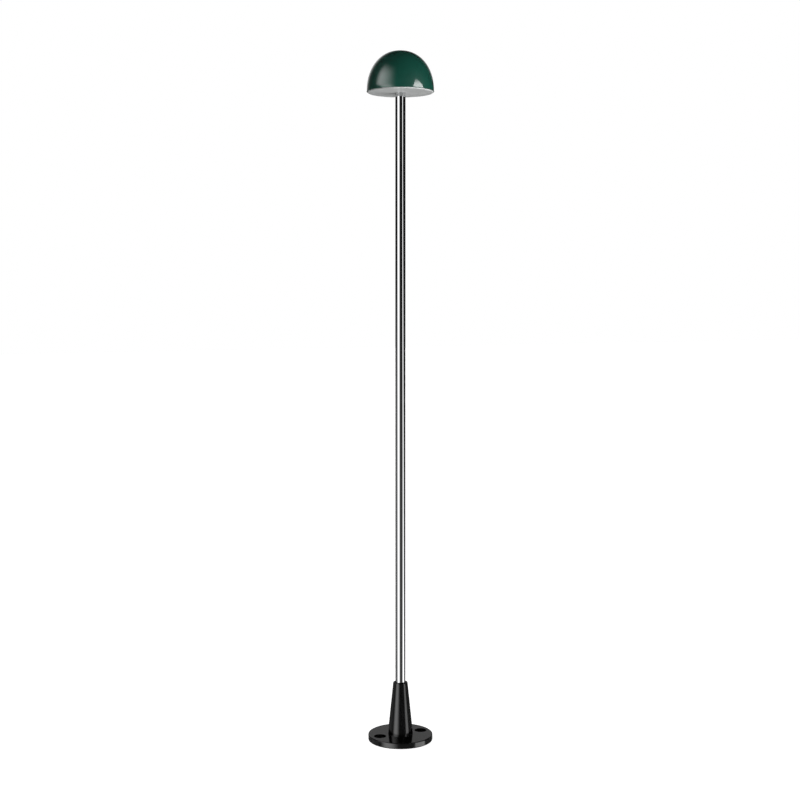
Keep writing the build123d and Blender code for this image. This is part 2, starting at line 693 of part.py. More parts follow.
# Cores from the lead's upper end to the driver
with BuildPart() as supply_cores:
    for side, entry_x in zip((-1, 1), DRIVER_WIRES_X):
        start = (side * 1.3, 0.0, LEAD_TOP)
        add(
            wire(
                [
                    start,
                    (start[0], 0.0, LEAD_TOP + 9.0),
                    (entry_x - 10.0 + side, -24.0, LEAD_TOP + 8.0),
                    (entry_x, -43.0, DRIVER_ENTRY_Z + 6.0),
                    (entry_x, -40.0, DRIVER_ENTRY_Z),
                    (entry_x, -driver_end + 3.0, DRIVER_ENTRY_Z),
                ],
                CORE_RADIUS,
                [6.0, 9.0, 3.2, 3.2],
            )
        )
write(supply_cores, "supply_cores")

# Wires from the driver down through the carrier to the board
with BuildPart() as board_wires:
    for side, entry_x in zip((-1, 1), DRIVER_WIRES_X):
        foot_y = WIRE_HOLE[1] + side * 1.1
        add(
            wire(
                [
                    (entry_x, driver_end - 3.0, DRIVER_ENTRY_Z),
                    (entry_x, foot_y, DRIVER_ENTRY_Z),
                    (WIRE_HOLE[0], foot_y, DRIVER_ENTRY_Z),
                    (WIRE_HOLE[0], foot_y, BOARD_TOP),
                ],
                0.8,
                [2.6, 3.0],
            )
        )
write(board_wires, "board_wires")

# Grommet round the wires in the carrier
with BuildPart() as wire_grommet:
    with BuildSketch(Plane.XY.offset(CARRIER_Z)):
        with Locations(WIRE_HOLE):
            Circle(3.45)
            Circle(2.2, mode=Mode.SUBTRACT)
    extrude(amount=CARRIER_THICKNESS)
    with BuildSketch(Plane.XY.offset(CARRIER_TOP)):
        with Locations(WIRE_HOLE):
            Circle(4.4)
            Circle(2.2, mode=Mode.SUBTRACT)
    extrude(amount=1.0)
write(wire_grommet, "wire_grommet")

# Opal disc with an upstand that snaps round the carrier
with BuildPart() as diffuser:
    with BuildSketch(Plane.XZ):
        with BuildLine():
            Polyline(
                (DIFFUSER_HOLE, DIFFUSER_Z),
                (DIFFUSER_RADIUS, DIFFUSER_Z),
                (DIFFUSER_RADIUS, DIFFUSER_Z + DIFFUSER_THICKNESS),
                (DIFFUSER_WALL_RADIUS, DIFFUSER_Z + DIFFUSER_THICKNESS),
                (DIFFUSER_WALL_RADIUS, CARRIER_TOP),
                (DIFFUSER_WALL_BORE, CARRIER_TOP),
                (DIFFUSER_WALL_BORE, CARRIER_Z + 1.65),
                (DIFFUSER_WALL_BORE - 0.7, CARRIER_Z + 1.3),
                (DIFFUSER_WALL_BORE, CARRIER_Z + 0.95),
                (DIFFUSER_WALL_BORE, DIFFUSER_Z + DIFFUSER_THICKNESS),
                (DIFFUSER_HOLE, DIFFUSER_Z + DIFFUSER_THICKNESS),
                close=True,
            )
        make_face()
    revolve(axis=Axis.Z)
    lower_edges = diffuser.edges().filter_by(GeomType.CIRCLE).group_by(Axis.Z)[0]
    fillet(lower_edges.sort_by(SortBy.RADIUS)[-1], 0.9)
    fillet(lower_edges.sort_by(SortBy.RADIUS)[0], 0.4)
write(diffuser, "diffuser")

# Bent lugs on the carrier that hook over the shade's ring
lug_gap = 0.3
with BuildPart() as bayonet_lugs:
    for angle in LUG_ANGLES:
        with BuildSketch(Plane.XZ):
            with BuildLine():
                Polyline(
                    (47.6, CARRIER_TOP),
                    (56.6, CARRIER_TOP),
                    (56.6, RING_TOP + lug_gap),
                    (61.5, RING_TOP + lug_gap),
                    (61.5, RING_TOP + lug_gap + LUG_SHEET),
                    (55.0, RING_TOP + lug_gap + LUG_SHEET),
                    (55.0, CARRIER_TOP + LUG_SHEET),
                    (47.6, CARRIER_TOP + LUG_SHEET),
                    close=True,
                )
            make_face()
        lug = extrude(amount=LUG_HALF_WIDTH, both=True, mode=Mode.PRIVATE)
        with Locations(Location((0, 0, 0), (0, 0, angle))):
            add(lug)
    with Locations(*[Location(polar(LUG_SCREW_CIRCLE, a, CARRIER_TOP)) for a in LUG_ANGLES]):
        Cylinder(1.6, 8.0, mode=Mode.SUBTRACT)
write(bayonet_lugs, "bayonet_lugs")

# One screw through each lug's foot
with BuildPart() as lug_screws:
    with BuildSketch(Plane.XY.offset(CARRIER_Z + 0.4)):
        with PolarLocations(LUG_SCREW_CIRCLE, LUG_COUNT, start_angle=LUG_START):
            Circle(M3_SHANK)
    extrude(amount=CARRIER_THICKNESS + LUG_SHEET - 0.4)
    with BuildSketch(Plane.XY.offset(CARRIER_TOP + LUG_SHEET)):
        with PolarLocations(LUG_SCREW_CIRCLE, LUG_COUNT, start_angle=LUG_START):
            Circle(M3_HEAD)
    extrude(amount=HEAD_HEIGHT)
write(lug_screws, "lug_screws")

# ---------------------------------------------------------------- shade

# Drawn dome: a shell whose short skirt ends in a rolled rim
inner_radius = SHADE_RADIUS - SHADE_WALL
with BuildPart() as dome_shade:
    with BuildSketch(Plane.XZ):
        with BuildLine():
            outer = Spline(*dome_points(SHADE_RADIUS, SHADE_CROWN), tangents=[(0, 1), (-1, 0)])
            inner = Spline(
                *dome_points(inner_radius, SHADE_CROWN - SHADE_WALL), tangents=[(0, 1), (-1, 0)]
            )
            Line(outer @ 1, inner @ 1)
            Polyline(
                inner @ 0,
                (inner_radius, RIM_Z),
                (BEAD_RADIUS, RIM_Z),
                (BEAD_RADIUS, EQUATOR_Z),
                outer @ 0,
            )
        make_face()
    revolve(axis=Axis.Z)
    rim_edges = dome_shade.edges().filter_by(GeomType.CIRCLE).group_by(Axis.Z)[0]
    fillet(rim_edges.sort_by(SortBy.RADIUS)[-1], 0.6)
    fillet(rim_edges.sort_by(SortBy.RADIUS)[0], 0.5)
write(dome_shade, "dome_shade")

# Ring bonded in the shade: notches let the lugs through, stops end the twist
notch_half_width = LUG_HALF_WIDTH + 0.8
with BuildPart() as shade_ring:
    with BuildSketch(Plane.XZ):
        flange_top = RING_TOP + 6.0
        with BuildLine():
            Polyline(
                (RING_BORE, RING_Z),
                (shade_inner_radius(RING_TOP) - 0.1, RING_Z),
                (shade_inner_radius(RING_TOP) - 0.1, RING_TOP),
                (shade_inner_radius(flange_top) - 0.1, flange_top),
                (shade_inner_radius(flange_top) - 1.5, flange_top),
                (shade_inner_radius(RING_TOP) - 1.9, RING_TOP),
                (RING_BORE, RING_TOP),
                close=True,
            )
        make_face()
    revolve(axis=Axis.Z)
    with BuildSketch(Plane.XY.offset(RING_Z)):
        with PolarLocations(59.0, LUG_COUNT, start_angle=LUG_START - TWIST_ANGLE):
            Rectangle(7.4, 2 * notch_half_width)
    extrude(amount=RING_THICKNESS, mode=Mode.SUBTRACT)
    with BuildSketch(Plane.XY.offset(RING_TOP)):
        with PolarLocations(60.2, LUG_COUNT, start_angle=LUG_START + STOP_ANGLE):
            Rectangle(3.4, 2.0)
        with PolarLocations(60.2, LUG_COUNT, start_angle=LUG_START - TWIST_ANGLE - STOP_ANGLE):
            Rectangle(3.4, 2.0)
    extrude(amount=2.6)
write(shade_ring, "shade_ring")
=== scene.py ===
"""Visual model of the pole lamp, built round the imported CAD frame. Lengths are metres, angles are degrees."""

import json
import math

import bmesh
import bpy
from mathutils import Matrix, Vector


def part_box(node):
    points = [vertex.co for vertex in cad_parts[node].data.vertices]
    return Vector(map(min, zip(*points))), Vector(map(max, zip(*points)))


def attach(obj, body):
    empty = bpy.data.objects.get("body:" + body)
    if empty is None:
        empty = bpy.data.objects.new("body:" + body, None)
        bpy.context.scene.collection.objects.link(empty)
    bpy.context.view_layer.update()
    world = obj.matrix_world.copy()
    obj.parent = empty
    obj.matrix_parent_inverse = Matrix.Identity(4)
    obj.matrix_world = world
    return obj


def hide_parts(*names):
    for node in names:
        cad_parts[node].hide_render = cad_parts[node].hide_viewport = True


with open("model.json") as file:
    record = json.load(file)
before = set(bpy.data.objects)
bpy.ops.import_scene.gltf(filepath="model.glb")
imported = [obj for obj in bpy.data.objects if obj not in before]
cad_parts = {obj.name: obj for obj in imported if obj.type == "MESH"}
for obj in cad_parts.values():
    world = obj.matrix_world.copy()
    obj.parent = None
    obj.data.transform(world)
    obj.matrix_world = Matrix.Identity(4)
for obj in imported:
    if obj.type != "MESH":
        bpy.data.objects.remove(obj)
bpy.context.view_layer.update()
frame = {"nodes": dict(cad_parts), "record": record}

MM = 0.001

# Camera: the angle round the Z axis at which it stands, and how far it looks down
CAMERA_ANGLE = -115.27
CAMERA_DISTANCE = 2.9625
CAMERA_HEIGHT = 0.9811
CAMERA_DOWN = 4.42
CAMERA_LENS = 61.57
CAMERA_SENSOR = 36.0
CAMERA_SHIFT = -0.0005
CAMERA_REACH = 100.0

# Three-cornered card: its distance from the pole, each corner's azimuth and height, the height up to which it
# has its full strength, and the share of that left at its tip
CARD_DISTANCE = 1.2
CARD_CORNERS = ((43.0, 1.57), (85.0, 1.57), (54.0, 1.91))
CARD_FULL_HEIGHT = 1.6
CARD_TIP_SHARE = 0.1
CARD_STRENGTH = 8.0

FLOOR_HALF_WIDTH = 20.0
FLOOR_DROP = 0.5 * MM
FLOOR_GLOW = 0.95
FLOOR_COLOUR = (0.9, 0.9, 0.9, 1.0)
WHITE = (1.0, 1.0, 1.0, 1.0)

# Shade, as the CAD has it
SHADE_RADIUS = 71.6 * MM
SHADE_FULLNESS = 2.15
SHADE_WALL = 1.6 * MM
SHADE_SKIRT = 1.3 * MM
BEAD_RADIUS = 72.0 * MM
BEAD_SIDE_DROP = 0.3 * MM
BEAD_SHOULDER = 0.15 * MM
BEAD_SHOULDER_DROP = 0.08 * MM
RIM_ROUND = 0.6 * MM
RIM_INSIDE_ROUND = 0.5 * MM
SHADE_STEPS = 72

# Pole, as the CAD has it
POLE_RADIUS = 11.0 * MM
POLE_BORE = 9.5 * MM
POLE_HOLE = 1.5 * MM
PIN_HEIGHT = 59.7 * MM
PLUG_SCREW_HEIGHT = 1418.0 * MM

# Foot, as the CAD has it
FLANGE_RADIUS = 70.9 * MM
FLANGE_BOTTOM = 1.2 * MM
FLANGE_TOP = 12.7 * MM
FLANGE_EDGE = 1.6 * MM
FLANGE_CHAMFER = 0.5 * MM
CONE_FOOT_RADIUS = 27.8 * MM
CONE_TOP_RADIUS = 15.9 * MM
SOCKET_TOP = 128.2 * MM
SOCKET_BORE = 13.0 * MM
MOUTH_OUTER_ROUND = 0.9 * MM
MOUTH_INNER_ROUND = 0.7 * MM
LEDGE = 36.0 * MM
WEB_BORE = 9.0 * MM
POCKET_RADIUS = 20.0 * MM
POCKET_TOP = 32.0 * MM
RECESS_RADIUS = 38.3 * MM
PLATE_TOP = 3.2 * MM
BOLT_CIRCLE = 49.4 * MM
BOLT_HOLE = 5.5 * MM
COUNTERBORE = 13.5 * MM
COUNTERBORE_FLOOR = 5.2 * MM
PLATE_SCREW_CIRCLE = 30.0 * MM
PLATE_SCREW_ANGLES = (30.0, 150.0, 270.0)
PLATE_SCREW_HOLE = 2.0 * MM
PLATE_SCREW_DEPTH = 7.0 * MM
KEYWAY_HALF = 2.05 * MM
KEYWAY_REACH = 15.1 * MM
KEYWAY_TOP = 92.4 * MM
LOCK_HEIGHT = 110.0 * MM
LOCK_HOLE = 3.0 * MM

# Meshes: segments of a turned piece and of what cuts it, how far a cutter starts outside, and how far from an
# edge a ring of points keeps the shading of the face beside it flat
SEGMENTS = 256
CUTTER_SEGMENTS = 64
BOLT_SEGMENTS = 96
CUTTER_CLEAR = 1.0 * MM
EDGE_RING = 0.3 * MM
BORE_RING = 0.5 * MM
FLANGE_RING = 1.0 * MM
MOUTH_RING = 2.0 * MM
SHARP_ANGLE = 32.0

# Materials: depth of the fine relief, and how far light spreads inside the opal disc
RELIEF_DEPTH = 0.2 * MM
SPREAD_DEPTH = 4.0 * MM


# ---------------------------------------------------------------- shader helpers


class Tree:
    """A node tree with short calls for the nodes that the materials and the world use."""

    def __init__(self, tree):
        self.tree = tree
        tree.nodes.clear()

    def node(self, kind, **inputs):
        """Add a node. A socket is named by its label with _ for spaces; any other name is a node property."""
        made = self.tree.nodes.new(kind)
        for name, value in inputs.items():
            label = name.replace("_", " ")
            if label in made.inputs:
                self.feed(made.inputs[label], value)
            else:
                setattr(made, name, value)
        return made

    def feed(self, socket, value):
        """Link a socket, or set its constant."""
        if isinstance(value, bpy.types.NodeSocket):
            self.tree.links.new(value, socket)
        else:
            socket.default_value = value

    def math(self, operation, *values):
        """One Math node's result."""
        made = self.tree.nodes.new("ShaderNodeMath")
        made.operation = operation
        for socket, value in zip(made.inputs, values):
            self.feed(socket, value)
        return made.outputs[0]

    def step(self, value, start, end, low=0.0, high=1.0):
        """Smooth step from low at start to high at end; start may be the larger one."""
        made = self.tree.nodes.new("ShaderNodeMapRange")
        made.interpolation_type = "SMOOTHSTEP"
        labels = ("Value", "From Min", "From Max", "To Min", "To Max")
        for label, number in zip(labels, (value, start, end, low, high)):
            self.feed(made.inputs[label], number)
        return made.outputs["Result"]

    def product(self, *values):
        """Product of several values."""
        result = values[0]
        for value in values[1:]:
            result = self.math("MULTIPLY", result, value)
        return result

    def total(self, *values):
        """Sum of several values."""
        result = values[0]
        for value in values[1:]:
            result = self.math("ADD", result, value)
        return result

    def end(self, kind, shader):
        """Feed a shader to the tree's output node."""
        self.feed(self.node(kind).inputs["Surface"], shader)


def ramp(tree, factor, stops):
    """Colour ramp through (position, rgb) stops."""
    made = tree.node("ShaderNodeValToRGB", Fac=factor)
    elements = made.color_ramp.elements
    while len(elements) < len(stops):
        elements.new(1.0)
    for element, (position, colour) in zip(elements, stops):
        element.position = position
        element.color = (*colour, 1.0)
    return made.outputs["Color"]


def shaded(colour, factor):
    """A colour scaled in brightness."""
    return tuple(min(1.0, c * factor) for c in colour)


def new_material(name):
    """A material and its empty tree."""
    made = bpy.data.materials.new(name)
    made.use_nodes = True
    return made, Tree(made.node_tree)


def finish_material(
    name,
    colour,
    roughness,
    metallic=0.0,
    tint=0.06,
    tint_scale=14.0,
    rough_spread=0.05,
    rough_scale=40.0,
    bump=0.0,
    bump_scale=900.0,
    grain=(1.0, 1.0, 1.0),
    ior=1.5,
    specular=0.5,
    coat=0.0,
    coat_roughness=0.03,
    coat_ior=1.5,
    subsurface=0.0,
):
    """Principled finish: mottled colour, uneven polish, and a fine surface relief, all in object space."""
    made, tree = new_material(name)
    place = tree.node("ShaderNodeTexCoord").outputs["Object"]
    stretched = tree.node("ShaderNodeMapping", Vector=place, Scale=grain).outputs["Vector"]
    mottle = tree.node("ShaderNodeTexNoise", Vector=place, Scale=tint_scale, Detail=4.0, Roughness=0.55)
    polish = tree.node("ShaderNodeTexNoise", Vector=stretched, Scale=rough_scale, Detail=6.0, Roughness=0.6)
    tones = [(0.3, shaded(colour, 1 - tint)), (0.5, colour), (0.7, shaded(colour, 1 + tint))]
    smoothest = max(0.0, roughness - rough_spread)
    surface = tree.node(
        "ShaderNodeBsdfPrincipled",
        Base_Color=ramp(tree, mottle.outputs["Fac"], tones),
        Roughness=tree.step(polish.outputs["Fac"], 0.25, 0.75, smoothest, roughness + rough_spread),
        Metallic=metallic,
        IOR=ior,
        Specular_IOR_Level=specular,
    )
    if coat:
        surface.inputs["Coat Weight"].default_value = coat
        surface.inputs["Coat Roughness"].default_value = coat_roughness
        surface.inputs["Coat IOR"].default_value = coat_ior
    if subsurface:
        surface.inputs["Subsurface Weight"].default_value = subsurface
        surface.inputs["Subsurface Radius"].default_value = (SPREAD_DEPTH, SPREAD_DEPTH, SPREAD_DEPTH)
        surface.inputs["Subsurface Scale"].default_value = 1.0
    if bump:
        grit = tree.node("ShaderNodeTexNoise", Vector=stretched, Scale=bump_scale, Detail=3.0, Roughness=0.6)
        raised = tree.node("ShaderNodeBump", Height=grit.outputs["Fac"], Strength=bump, Distance=RELIEF_DEPTH)
        tree.feed(surface.inputs["Normal"], raised.outputs["Normal"])
    tree.end("ShaderNodeOutputMaterial", surface.outputs[0])
    return made


# ---------------------------------------------------------------- mesh helpers


def add_object(name, data):
    """Object in the scene for some mesh or camera data."""
    made = bpy.data.objects.new(name, data)
    bpy.context.scene.collection.objects.link(made)
    return made


def mesh_of(name, work):
    """Mesh data from a bmesh, which is freed."""
    mesh = bpy.data.meshes.new(name)
    work.to_mesh(mesh)
    work.free()
    return mesh


def set_sharp_edges(work):
    """Smooth faces, with a hard edge wherever two of them meet at more than the sharp angle."""
    for face in work.faces:
        face.smooth = True
    for edge in work.edges:
        edge.smooth = len(edge.link_faces) < 2 or edge.calc_face_angle(0.0) < math.radians(SHARP_ANGLE)


def arc(centre, radius, start, end, steps):
    """Points of an arc in the (radius, height) plane."""
    angles = [math.radians(start + (end - start) * i / steps) for i in range(steps + 1)]
    return [(centre[0] + radius * math.cos(a), centre[1] + radius * math.sin(a)) for a in angles]


def lathe(name, outline, segments, materials, material_of=None):
    """Closed outline in (radius, height), turned round the Z axis. A point at radius 0 becomes one vertex."""
    work = bmesh.new()
    turns = [2 * math.pi * i / segments for i in range(segments)]
    rings = []
    for radius, height in outline:
        if radius == 0.0:
            rings.append([work.verts.new((0.0, 0.0, height))] * segments)
            continue
        circle = [(radius * math.cos(t), radius * math.sin(t), height) for t in turns]
        rings.append([work.verts.new(point) for point in circle])
    for k, low in enumerate(rings):
        high = rings[(k + 1) % len(rings)]
        if low[0] is low[1] and high[0] is high[1]:
            continue
        for i in range(segments):
            j = (i + 1) % segments
            corners = []
            for vertex in (low[i], low[j], high[j], high[i]):
                if vertex not in corners:
                    corners.append(vertex)
            face = work.faces.new(corners)
            face.material_index = material_of(k) if material_of else 0
    bmesh.ops.recalc_face_normals(work, faces=work.faces)
    set_sharp_edges(work)
    piece = add_object(name, mesh_of(name, work))
    for material in materials:
        piece.data.materials.append(material)
    return piece


def cylinder(radius, low, high):
    """Solid cylinder on the Z axis, to cut with."""
    return lathe("cutter", [(0.0, low), (radius, low), (radius, high), (0.0, high)], CUTTER_SEGMENTS, [])


def cross_cylinder(radius, near, far, height):
    """Solid cylinder along the Y axis at a height, to cut with."""
    made = cylinder(radius, near, far)
    made.location.z = height
    made.rotation_euler.x = -math.pi / 2
    return made


def cut(piece, cutters):
    """Take the cutters' volumes out of a piece, then delete them."""
    for cutter in cutters:
        taken = piece.modifiers.new("cut", "BOOLEAN")
        taken.operation = "DIFFERENCE"
        taken.solver = "EXACT"
        taken.object = cutter
    graph = bpy.context.evaluated_depsgraph_get()
    mesh = bpy.data.meshes.new_from_object(piece.evaluated_get(graph))
    piece.modifiers.clear()
    piece.data = mesh
    for cutter in cutters:
        bpy.data.objects.remove(cutter, do_unlink=True)
    work = bmesh.new()
    work.from_mesh(mesh)
    set_sharp_edges(work)
    work.to_mesh(mesh)
    work.free()


# ---------------------------------------------------------------- materials

black_enamel = finish_material(
    "black_enamel", (0.0035, 0.0035, 0.0037), 0.12, tint=0.2, rough_spread=0.03, rough_scale=60, ior=1.58,
)
green_enamel = finish_material(
    "green_enamel", (0.0075, 0.075, 0.052), 0.38, tint=0.05, tint_scale=20, rough_spread=0.03, rough_scale=30,
    specular=0.15, coat=1.0, coat_roughness=0.08, coat_ior=1.65,
)
white_enamel = finish_material("white_enamel", (0.78, 0.78, 0.77), 0.3, bump=0.04, bump_scale=400)
chrome = finish_material(
    "chrome", (0.58, 0.585, 0.59), 0.016, metallic=1.0, tint=0.015, rough_spread=0.006, rough_scale=25,
    grain=(1.0, 1.0, 0.06),
)
opal = finish_material(
    "opal", (0.63, 0.645, 0.64), 0.45, tint=0.012, specular=0.1, rough_spread=0.04, bump=0.02, bump_scale=200,
    subsurface=0.2,
)
rubber = finish_material("rubber", (0.018, 0.018, 0.018), 0.7, tint=0.25, bump=0.35, bump_scale=1400)
zinc = finish_material(
    "zinc", (0.56, 0.57, 0.58), 0.32, metallic=1.0, tint=0.1, rough_spread=0.12, bump=0.1, bump_scale=500,
    grain=(1.0, 6.0, 1.0),
)
aluminium = finish_material(
    "aluminium", (0.74, 0.75, 0.76), 0.34, metallic=1.0, tint=0.05, rough_spread=0.1, bump=0.12,
    bump_scale=600, grain=(1.0, 14.0, 1.0),
)
brass = finish_material("brass", (0.7, 0.5, 0.2), 0.3, metallic=1.0, tint=0.1, rough_spread=0.1, bump=0.08)
black_steel = finish_material("black_steel", (0.05, 0.05, 0.05), 0.42, metallic=1.0, tint=0.2, bump=0.12)
black_nylon = finish_material("black_nylon", (0.012, 0.012, 0.012), 0.38, tint=0.2, bump=0.2, bump_scale=1200)
white_nylon = finish_material("white_nylon", (0.72, 0.71, 0.67), 0.45, tint=0.03, bump=0.12, bump_scale=900)
white_sheath = finish_material(
    "white_sheath", (0.76, 0.76, 0.74), 0.42, tint=0.03, bump=0.1, grain=(1.0, 1.0, 0.1),
)
green_core = finish_material("green_core", (0.2, 0.4, 0.05), 0.35, bump=0.08)
brown_core = finish_material("brown_core", (0.2, 0.08, 0.03), 0.35, bump=0.08)
silicone = finish_material("silicone", (0.4, 0.42, 0.45), 0.6, tint=0.06, bump=0.2, bump_scale=800)
white_board = finish_material("white_board", (0.82, 0.82, 0.82), 0.32, tint=0.03, bump=0.06, bump_scale=1500)
led_yellow = finish_material("led_yellow", (0.85, 0.68, 0.18), 0.18, tint=0.08, bump=0.05)
white_case = finish_material("white_case", (0.78, 0.78, 0.78), 0.45, tint=0.03, bump=0.16, bump_scale=1100)
red_wire = finish_material("red_wire", (0.5, 0.03, 0.02), 0.35, bump=0.08)

BY_SLOT = {
    "black_enamel": black_enamel,
    "black_rubber": rubber,
    "zinc_steel": zinc,
    "white_nylon": white_nylon,
    "brass": brass,
    "green_core": green_core,
    "white_sheath": white_sheath,
    "brown_core": brown_core,
    "black_nylon": black_nylon,
    "black_steel": black_steel,
    "chrome": chrome,
    "bare_aluminium": aluminium,
    "grey_silicone": silicone,
    "white_board": white_board,
    "led_yellow": led_yellow,
    "white_case": white_case,
    "red_wire": red_wire,
    "opal": opal,
    "green_enamel": green_enamel,
}


def finish_nodes():
    """Give each CAD node the finish of its own material slot in the record."""
    slot_of = {entry["node"]: entry["material_slot"] for entry in frame["record"]["subparts"]}
    for node, piece in frame["nodes"].items():
        piece.data.materials.clear()
        piece.data.materials.append(BY_SLOT[slot_of[node]])


# ---------------------------------------------------------------- shade


def dome_points(half_width, height, equator):
    """Points of the dome's outline from its equator to its crown, a little fuller than an ellipse."""
    power = 2 / SHADE_FULLNESS
    turns = [math.pi / 2 * i / SHADE_STEPS for i in range(SHADE_STEPS)]
    rise = [(half_width * math.cos(t) ** power, equator + height * math.sin(t) ** power) for t in turns]
    return [*rise, (0.0, equator + height)]


def spun_shade():
    """Dome with its rolled rim, green outside and white inside."""
    low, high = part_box("dome_shade")
    rim = low[2]
    equator = rim + SHADE_SKIRT
    rise = high[2] - equator
    inner_radius = SHADE_RADIUS - SHADE_WALL
    lip = arc((inner_radius + RIM_INSIDE_ROUND, rim + RIM_INSIDE_ROUND), RIM_INSIDE_ROUND, -180, -90, 5)
    bead = [
        *arc((BEAD_RADIUS - RIM_ROUND, rim + RIM_ROUND), RIM_ROUND, -90, 0, 6),
        (BEAD_RADIUS, equator - BEAD_SIDE_DROP),
        (BEAD_RADIUS - BEAD_SHOULDER, equator - BEAD_SHOULDER_DROP),
    ]
    outside = dome_points(SHADE_RADIUS, rise, equator)
    inside = dome_points(inner_radius, rise - SHADE_WALL, equator)
    painted_from = len(lip) - 1
    painted_to = len(lip) + len(bead) + len(outside) - 1

    def finish_of(ring):
        return 0 if painted_from <= ring < painted_to else 1

    outline = lip + bead + outside + inside[::-1]
    shade = lathe("shade_shell", outline, SEGMENTS, [green_enamel, white_enamel], finish_of)
    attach(shade, "shade")
    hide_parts("dome_shade")


# ---------------------------------------------------------------- pole


def turned_tube():
    """Chromed pole, with its pin hole at the back and a screw hole through both sides near its top."""
    low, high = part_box("pole")
    outline = [(POLE_BORE, low[2]), (POLE_RADIUS, low[2]), (POLE_RADIUS, high[2]), (POLE_BORE, high[2])]
    tube = lathe("pole_tube", outline, SEGMENTS, [chrome])
    pin_hole = cross_cylinder(POLE_HOLE, 0.0, 2 * POLE_RADIUS, PIN_HEIGHT)
    screw_holes = cross_cylinder(POLE_HOLE, -2 * POLE_RADIUS, 2 * POLE_RADIUS, PLUG_SCREW_HEIGHT)
    cut(tube, [pin_hole, screw_holes])
    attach(tube, "pole")
    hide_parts("pole")


# ---------------------------------------------------------------- foot


def cone_radius(height):
    """Radius of the tapered socket at a height."""
    share = (height - FLANGE_TOP) / (SOCKET_TOP - FLANGE_TOP)
    return CONE_FOOT_RADIUS + (CONE_TOP_RADIUS - CONE_FOOT_RADIUS) * share


def foot_outline():
    """Section of the foot: flange, tapered socket and mouth outside, then bore, pocket and recess inside."""
    lean = math.degrees(math.atan2(CONE_FOOT_RADIUS - CONE_TOP_RADIUS, SOCKET_TOP - FLANGE_TOP))
    tangent = MOUTH_OUTER_ROUND * math.tan(math.radians(90 - lean) / 2)
    flange_round = (FLANGE_RADIUS - FLANGE_EDGE, FLANGE_TOP - FLANGE_EDGE)
    outer_round = (CONE_TOP_RADIUS - tangent, SOCKET_TOP - MOUTH_OUTER_ROUND)
    inner_round = (SOCKET_BORE + MOUTH_INNER_ROUND, SOCKET_TOP - MOUTH_INNER_ROUND)
    return [
        (RECESS_RADIUS, FLANGE_BOTTOM),
        (FLANGE_RADIUS - FLANGE_CHAMFER, FLANGE_BOTTOM),
        (FLANGE_RADIUS, FLANGE_BOTTOM + FLANGE_CHAMFER),
        (FLANGE_RADIUS, FLANGE_BOTTOM + FLANGE_CHAMFER + EDGE_RING),
        (FLANGE_RADIUS, flange_round[1] - EDGE_RING),
        *arc(flange_round, FLANGE_EDGE, 0, 90, 10),
        (flange_round[0] - EDGE_RING, FLANGE_TOP),
        (CONE_FOOT_RADIUS + FLANGE_RING, FLANGE_TOP),
        (CONE_FOOT_RADIUS, FLANGE_TOP),
        (cone_radius(SOCKET_TOP - MOUTH_RING), SOCKET_TOP - MOUTH_RING),
        *arc(outer_round, MOUTH_OUTER_ROUND, lean, 90, 8),
        *arc(inner_round, MOUTH_INNER_ROUND, 90, 180, 8),
        (SOCKET_BORE, inner_round[1] - BORE_RING),
        (SOCKET_BORE, LEDGE),
        (WEB_BORE, LEDGE),
        (WEB_BORE, POCKET_TOP),
        (POCKET_RADIUS, POCKET_TOP),
        (POCKET_RADIUS, PLATE_TOP),
        (RECESS_RADIUS, PLATE_TOP),
    ]


def bolt_cutter(side):
    """What cuts one counterbored bolt hole, on the right (1) or left (-1)."""
    top = 2 * FLANGE_TOP
    stepped = [
        (0.0, 0.0),
        (BOLT_HOLE, 0.0),
        (BOLT_HOLE, COUNTERBORE_FLOOR),
        (COUNTERBORE, COUNTERBORE_FLOOR),
        (COUNTERBORE, top),
        (0.0, top),
    ]
    made = lathe("cutter", stepped, BOLT_SEGMENTS, [])
    made.location.x = side * BOLT_CIRCLE
    return made


def plate_screw_cutter(angle):
    """What cuts one blind hole for a screw of the bottom plate."""
    made = cylinder(PLATE_SCREW_HOLE, PLATE_TOP - CUTTER_CLEAR, PLATE_TOP + PLATE_SCREW_DEPTH)
    turn = math.radians(angle)
    made.location = (PLATE_SCREW_CIRCLE * math.cos(turn), PLATE_SCREW_CIRCLE * math.sin(turn), 0.0)
    return made


def keyway_cutter():
    """What cuts the keyway in the front of the bore, from the ledge up."""
    work = bmesh.new()
    bmesh.ops.create_cube(work, size=1.0)
    for corner in work.verts:
        corner.co.x *= 2 * KEYWAY_HALF
        corner.co.y = -KEYWAY_REACH if corner.co.y < 0 else 0.0
        corner.co.z = KEYWAY_TOP if corner.co.z > 0 else LEDGE
    return add_object("cutter", mesh_of("cutter", work))


def turned_foot():
    """Flange and tapered socket, with the bolt recesses, screw holes and keyway cut in."""
    foot = lathe("foot_casting", foot_outline(), SEGMENTS, [black_enamel])
    cutters = [bolt_cutter(side) for side in (-1, 1)]
    cutters += [plate_screw_cutter(angle) for angle in PLATE_SCREW_ANGLES]
    cutters.append(cross_cylinder(LOCK_HOLE, SOCKET_BORE - CUTTER_CLEAR, CONE_FOOT_RADIUS, LOCK_HEIGHT))
    cutters.append(keyway_cutter())
    cut(foot, cutters)
    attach(foot, "base")
    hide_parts("base_socket")


# ---------------------------------------------------------------- light


